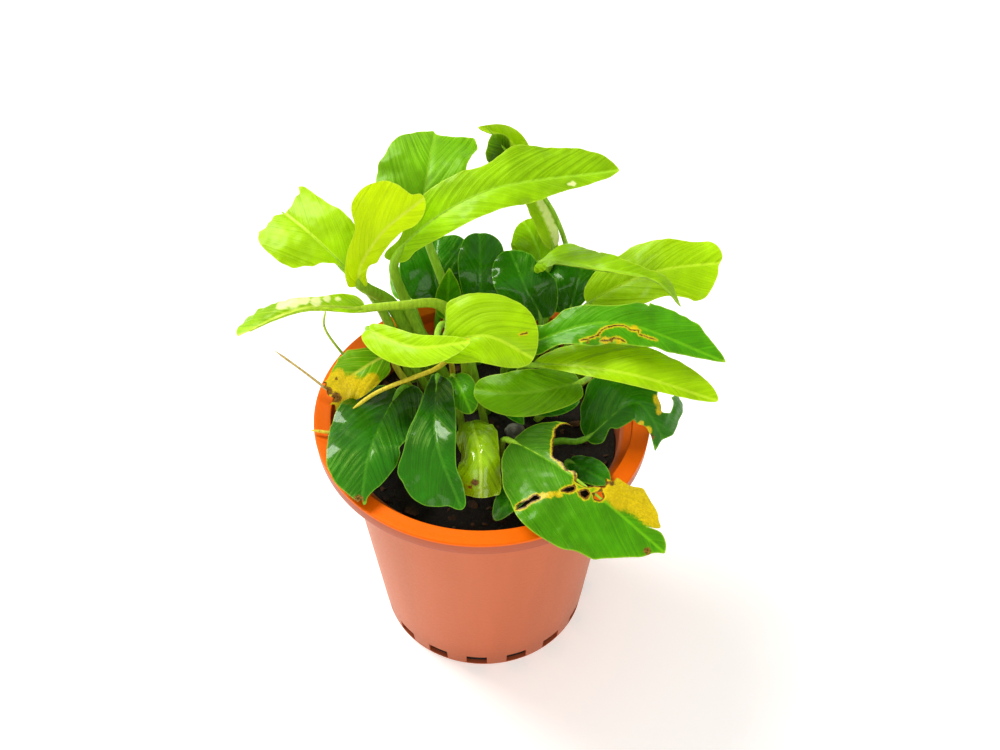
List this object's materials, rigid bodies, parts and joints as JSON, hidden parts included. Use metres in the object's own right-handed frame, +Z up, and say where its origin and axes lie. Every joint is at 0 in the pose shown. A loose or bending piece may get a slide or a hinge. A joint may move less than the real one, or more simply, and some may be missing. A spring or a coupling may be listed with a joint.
{
  "type": "potted pothos plant",
  "caption": "Bushy trailing houseplant with broad pointed leaves on slender stalks, growing in a round tapered plastic pot with a flat lip and drain slots around its foot.",
  "frame": {"origin": "centre of the pot's flat underside, on the surface it stands on", "axes": "+Z up along the pot's axis; -Y towards the side with the leaf that hangs over the front right of the rim; +X to the right seen from there"},
  "size_m": [0.187, 0.1739, 0.1949],
  "materials": {
    "pot_plastic": "satin",
    "soil": "matte",
    "pebble": "matte",
    "lime_leaf": "satin",
    "bright_leaf": "satin",
    "mid_leaf": "satin",
    "dark_leaf": "satin",
    "yellow_leaf": "satin",
    "vine_stem": "satin",
    "dry_stem": "matte"
  },
  "bodies": {
    "root": {"pot": "pot_plastic", "soil": "soil", "pebble": "pebble", "vine_left": "vine_stem", "vine_centre": "vine_stem", "vine_right": "vine_stem", "old_stalk": "yellow_leaf", "stalk_on_rim": "yellow_leaf", "aerial_root": "bright_leaf", "dried_tendril": "dry_stem", "leaf_top_long": "bright_leaf", "leaf_top_back": "mid_leaf", "leaf_yellow_young": "lime_leaf", "leaf_notched": "lime_leaf", "leaf_left_thin": "lime_leaf", "leaf_hooked": "lime_leaf", "leaf_cupped": "mid_leaf", "leaf_front_round": "lime_leaf", "leaf_front_band": "lime_leaf", "leaf_right_upper": "dark_leaf", "leaf_right_lower": "bright_leaf", "leaf_arching": "bright_leaf", "leaf_far_right": "bright_leaf", "leaf_centre_left": "dark_leaf", "leaf_centre": "dark_leaf", "leaf_centre_right": "dark_leaf", "leaf_under_arch": "dark_leaf", "leaf_pale_behind": "bright_leaf", "leaf_spike": "mid_leaf", "leaf_pale_low": "bright_leaf", "leaf_front_left": "dark_leaf", "leaf_front_middle": "dark_leaf", "leaf_glossy_small": "lime_leaf", "leaf_bitten": "mid_leaf", "leaf_holed": "dark_leaf", "leaf_yellowed": "yellow_leaf", "leaf_under_pale": "dark_leaf", "leaf_under_round": "mid_leaf", "leaf_low_front": "dark_leaf", "leaf_under_bitten": "dark_leaf", "leaf_small_tip": "dark_leaf", "leaf_back_left": "mid_leaf", "leaf_back_middle": "mid_leaf", "leaf_back_right": "dark_leaf"}
  },
  "joints": []
}
